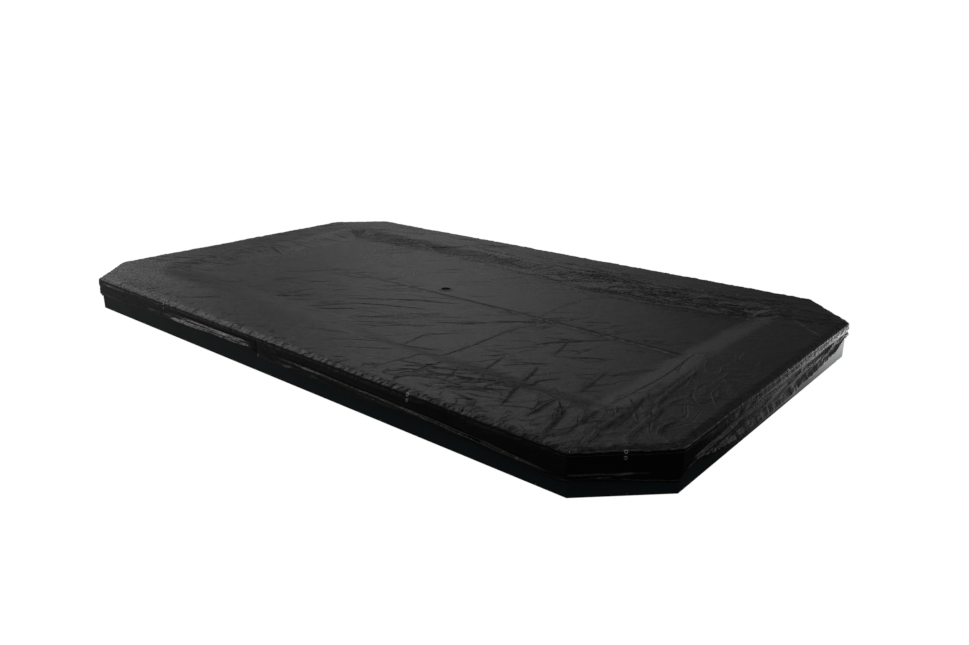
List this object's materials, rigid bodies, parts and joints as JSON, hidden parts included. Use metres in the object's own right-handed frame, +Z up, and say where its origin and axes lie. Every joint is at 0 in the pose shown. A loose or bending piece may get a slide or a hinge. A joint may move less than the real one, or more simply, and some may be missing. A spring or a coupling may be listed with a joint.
{
  "type": "ground-level trampoline with weather cover",
  "caption": "Low rectangular ground-level trampoline with clipped corners: sprung jump mat, edge pads and wall panels under a fitted black weather cover.",
  "frame": {"origin": "middle of the footprint, on the ground", "axes": "+X along the long sides, +Y along the short sides away from the front, +Z up"},
  "size_m": [5.19, 3.05, 0.2386],
  "materials": {
    "wall_paint": "semi-gloss powder coat, near black",
    "joint_strip_paint": "semi-gloss powder coat, near black",
    "zinc_screw": "bright zinc",
    "galvanised_steel": "galvanised, faint spangle",
    "sleeve_steel": "galvanised",
    "zinc_bolt": "bright zinc",
    "spring_wire": "bright zinc wire",
    "mat_weave": "tight woven polypropylene, satin",
    "mat_webbing": "folded polyester webbing",
    "mat_wire": "bright zinc wire",
    "pad_foam": "closed-cell foam",
    "pad_vinyl": "satin coated cloth",
    "strap_webbing": "woven strap",
    "cover_sheet": "glossy coated woven sheet, wrinkled",
    "eyelet_metal": "pressed metal, dulled",
    "drain_mesh": "open black mesh",
    "hem_elastic": "braided elastic cord",
    "tie_tape": "woven tape"
  },
  "bodies": {
    "frame": {"foot_plates": "galvanised_steel", "pad_foam_back": "pad_foam", "pad_foam_corners": "pad_foam", "pad_foam_front": "pad_foam", "pad_foam_left": "pad_foam", "pad_foam_right": "pad_foam", "pad_skin_back": "pad_vinyl", "pad_skin_corners": "pad_vinyl", "pad_skin_front": "pad_vinyl", "pad_skin_left": "pad_vinyl", "pad_skin_right": "pad_vinyl", "pad_straps": "strap_webbing", "posts_back": "galvanised_steel", "posts_corners": "galvanised_steel", "posts_front": "galvanised_steel", "posts_left": "galvanised_steel", "posts_right": "galvanised_steel", "ring_bolts": "zinc_bolt", "ring_corner_back_left": "galvanised_steel", "ring_corner_back_right": "galvanised_steel", "ring_corner_front_left": "galvanised_steel", "ring_corner_front_right": "galvanised_steel", "ring_nuts": "zinc_bolt", "ring_rail_back_left": "galvanised_steel", "ring_rail_back_right": "galvanised_steel", "ring_rail_front_left": "galvanised_steel", "ring_rail_front_right": "galvanised_steel", "ring_rail_left": "galvanised_steel", "ring_rail_right": "galvanised_steel", "ring_saddles": "galvanised_steel", "ring_sleeves": "sleeve_steel", "springs_back": "spring_wire", "springs_corners": "spring_wire", "springs_front": "spring_wire", "springs_left": "spring_wire", "springs_right": "spring_wire", "wall_back_left_bend": "wall_paint", "wall_back_middle": "wall_paint", "wall_back_right_bend": "wall_paint", "wall_front_left_bend": "wall_paint", "wall_front_middle": "wall_paint", "wall_front_right_bend": "wall_paint", "wall_joint_strips": "joint_strip_paint", "wall_left_back_bend": "wall_paint", "wall_left_front_bend": "wall_paint", "wall_right_back_bend": "wall_paint", "wall_right_front_bend": "wall_paint", "wall_screws": "zinc_screw"},
    "mat": {"jump_mat": "mat_weave", "mat_webbing": "mat_webbing", "mat_eyes": "mat_wire"},
    "cover": {"cover_eyelets": "eyelet_metal", "cover_middle": "cover_sheet", "cover_rim": "cover_sheet", "cover_skirt": "cover_sheet", "cover_slope": "cover_sheet", "cover_ties": "tie_tape", "drain_mesh": "drain_mesh", "hem_elastic": "hem_elastic"}
  },
  "joints": [
    {"name": "mat_bounce", "type": "slide", "parent": "frame", "child": "mat", "axis": [0, 0, 1], "range_m": [-0.15, 0], "stiffness_N_per_m": 6000, "springref_m": 0.03, "deforming": ["springs_back", "springs_corners", "springs_front", "springs_left", "springs_right"]},
    {"name": "cover_lift", "type": "slide", "parent": "frame", "child": "cover", "axis": [0, 0, 1], "range_m": [0, 0.6]}
  ]
}
